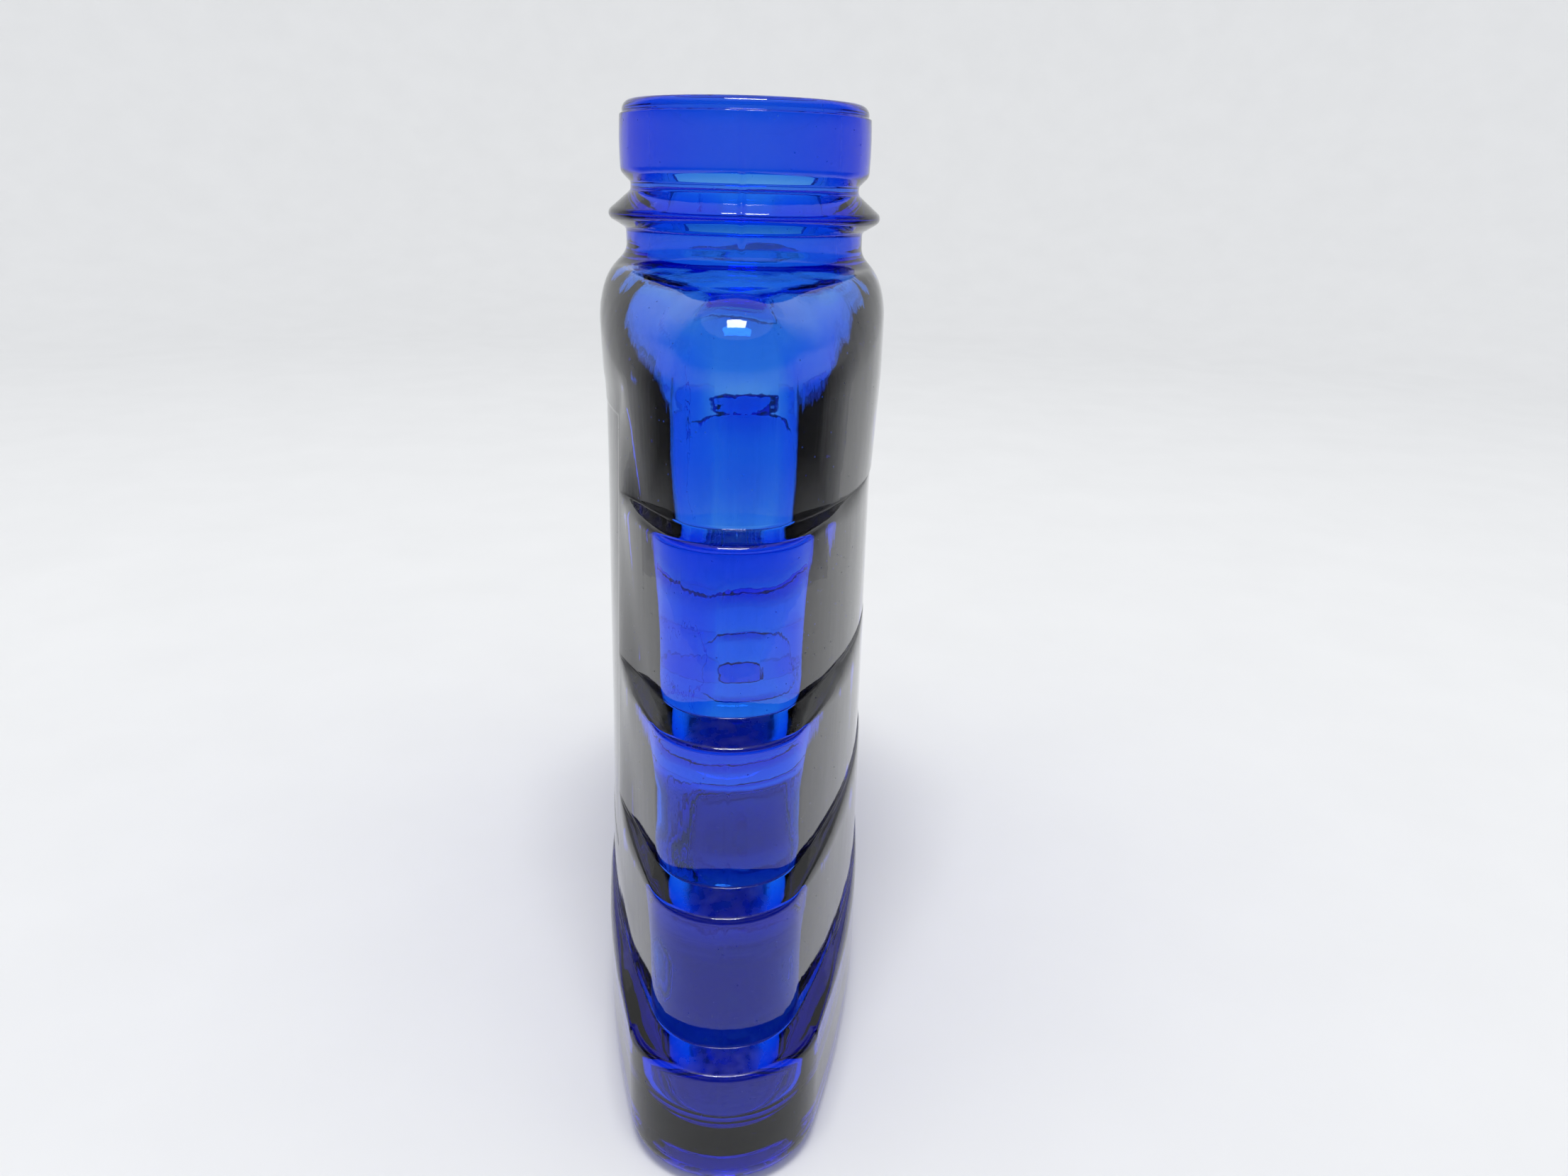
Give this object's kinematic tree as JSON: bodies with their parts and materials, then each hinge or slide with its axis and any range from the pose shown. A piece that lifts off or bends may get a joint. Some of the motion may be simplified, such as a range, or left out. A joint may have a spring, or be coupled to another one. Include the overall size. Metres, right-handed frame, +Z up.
{
  "type": "glass bottle",
  "caption": "Stepped oval flask in cobalt blue glass with a round neck, smooth collar, sealing bead, front label panel and flat base; holds liquid and stands upright.",
  "frame": {"origin": "on the standing plane, under the middle of the base", "axes": "+Z up along the neck, +X along the long side of the oval, -Y out of the front face with the label panel"},
  "size_m": [0.1424, 0.0446, 0.1359],
  "materials": {
    "cobalt_glass": "fire-polished moulded glass, clear cobalt blue"
  },
  "bodies": {
    "root": {"finish": "cobalt_glass", "shoulder_tier": "cobalt_glass", "upper_tier": "cobalt_glass", "middle_tier": "cobalt_glass", "lower_tier": "cobalt_glass", "foot_tier": "cobalt_glass", "base": "cobalt_glass"}
  },
  "joints": []
}
